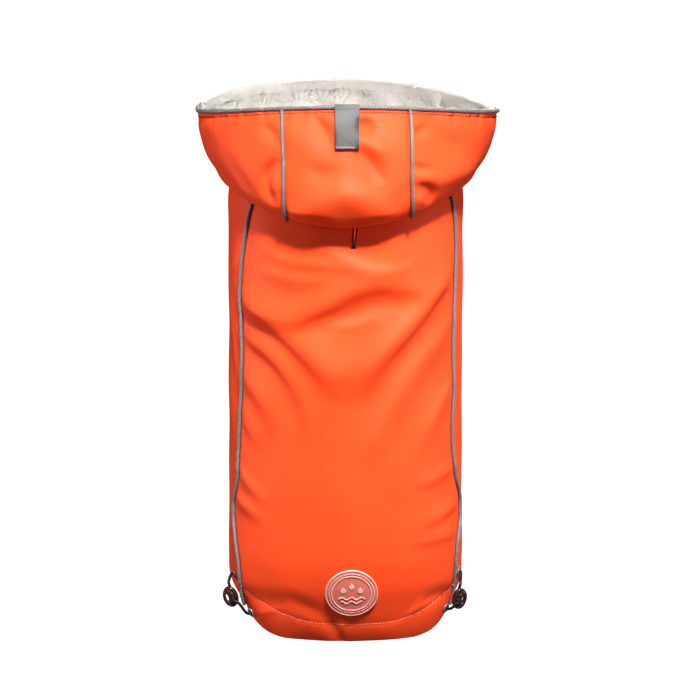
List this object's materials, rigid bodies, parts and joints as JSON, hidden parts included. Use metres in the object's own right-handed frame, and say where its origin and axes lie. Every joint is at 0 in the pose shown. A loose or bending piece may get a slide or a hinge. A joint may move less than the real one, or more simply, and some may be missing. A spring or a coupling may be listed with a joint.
{
  "type": "dog raincoat",
  "caption": "Hooded dog raincoat filled out as when worn, with the hood folded back into a lined bowl, piped seams, leg holes and a drawcord hem.",
  "frame": {"origin": "middle of the neck seam, where the wearer's neck and shoulders hold the coat", "axes": "+Z from the tail to the neck, -Y out of the coat's back, +Y out of its belly, +X to the right when the back is seen with the neck up"},
  "size_m": [0.2997, 0.2462, 0.5482],
  "materials": {
    "face_cloth": "smooth matte coated rain cloth",
    "fleece": "short cream fleece",
    "piping": "grey reflective piping with slanting ribs",
    "label_satin": "grey satin ribbon",
    "badge_rubber": "soft matte moulded rubber",
    "eyelet_metal": "dark plated metal",
    "lock_plastic": "dark smoke-brown moulded plastic",
    "elastic": "black braided elastic"
  },
  "bodies": {
    "root": {"back_panel": "face_cloth", "side_panel_left": "face_cloth", "side_panel_right": "face_cloth", "hood_centre": "face_cloth", "hood_left": "face_cloth", "hood_right": "face_cloth", "hood_lining": "fleece", "rim_piping": "piping", "hood_piping_left": "piping", "hood_piping_right": "piping", "back_piping_left": "piping", "back_piping_right": "piping", "label_tab": "label_satin", "badge": "badge_rubber", "eyelet_left_upper": "eyelet_metal", "eyelet_left_lower": "eyelet_metal", "eyelet_right_upper": "eyelet_metal", "eyelet_right_lower": "eyelet_metal", "cord_lock_left": "lock_plastic", "cord_lock_right": "lock_plastic", "drawcord_left_upper": "elastic", "drawcord_left_lower": "elastic", "drawcord_right_upper": "elastic", "drawcord_right_lower": "elastic"}
  },
  "joints": []
}
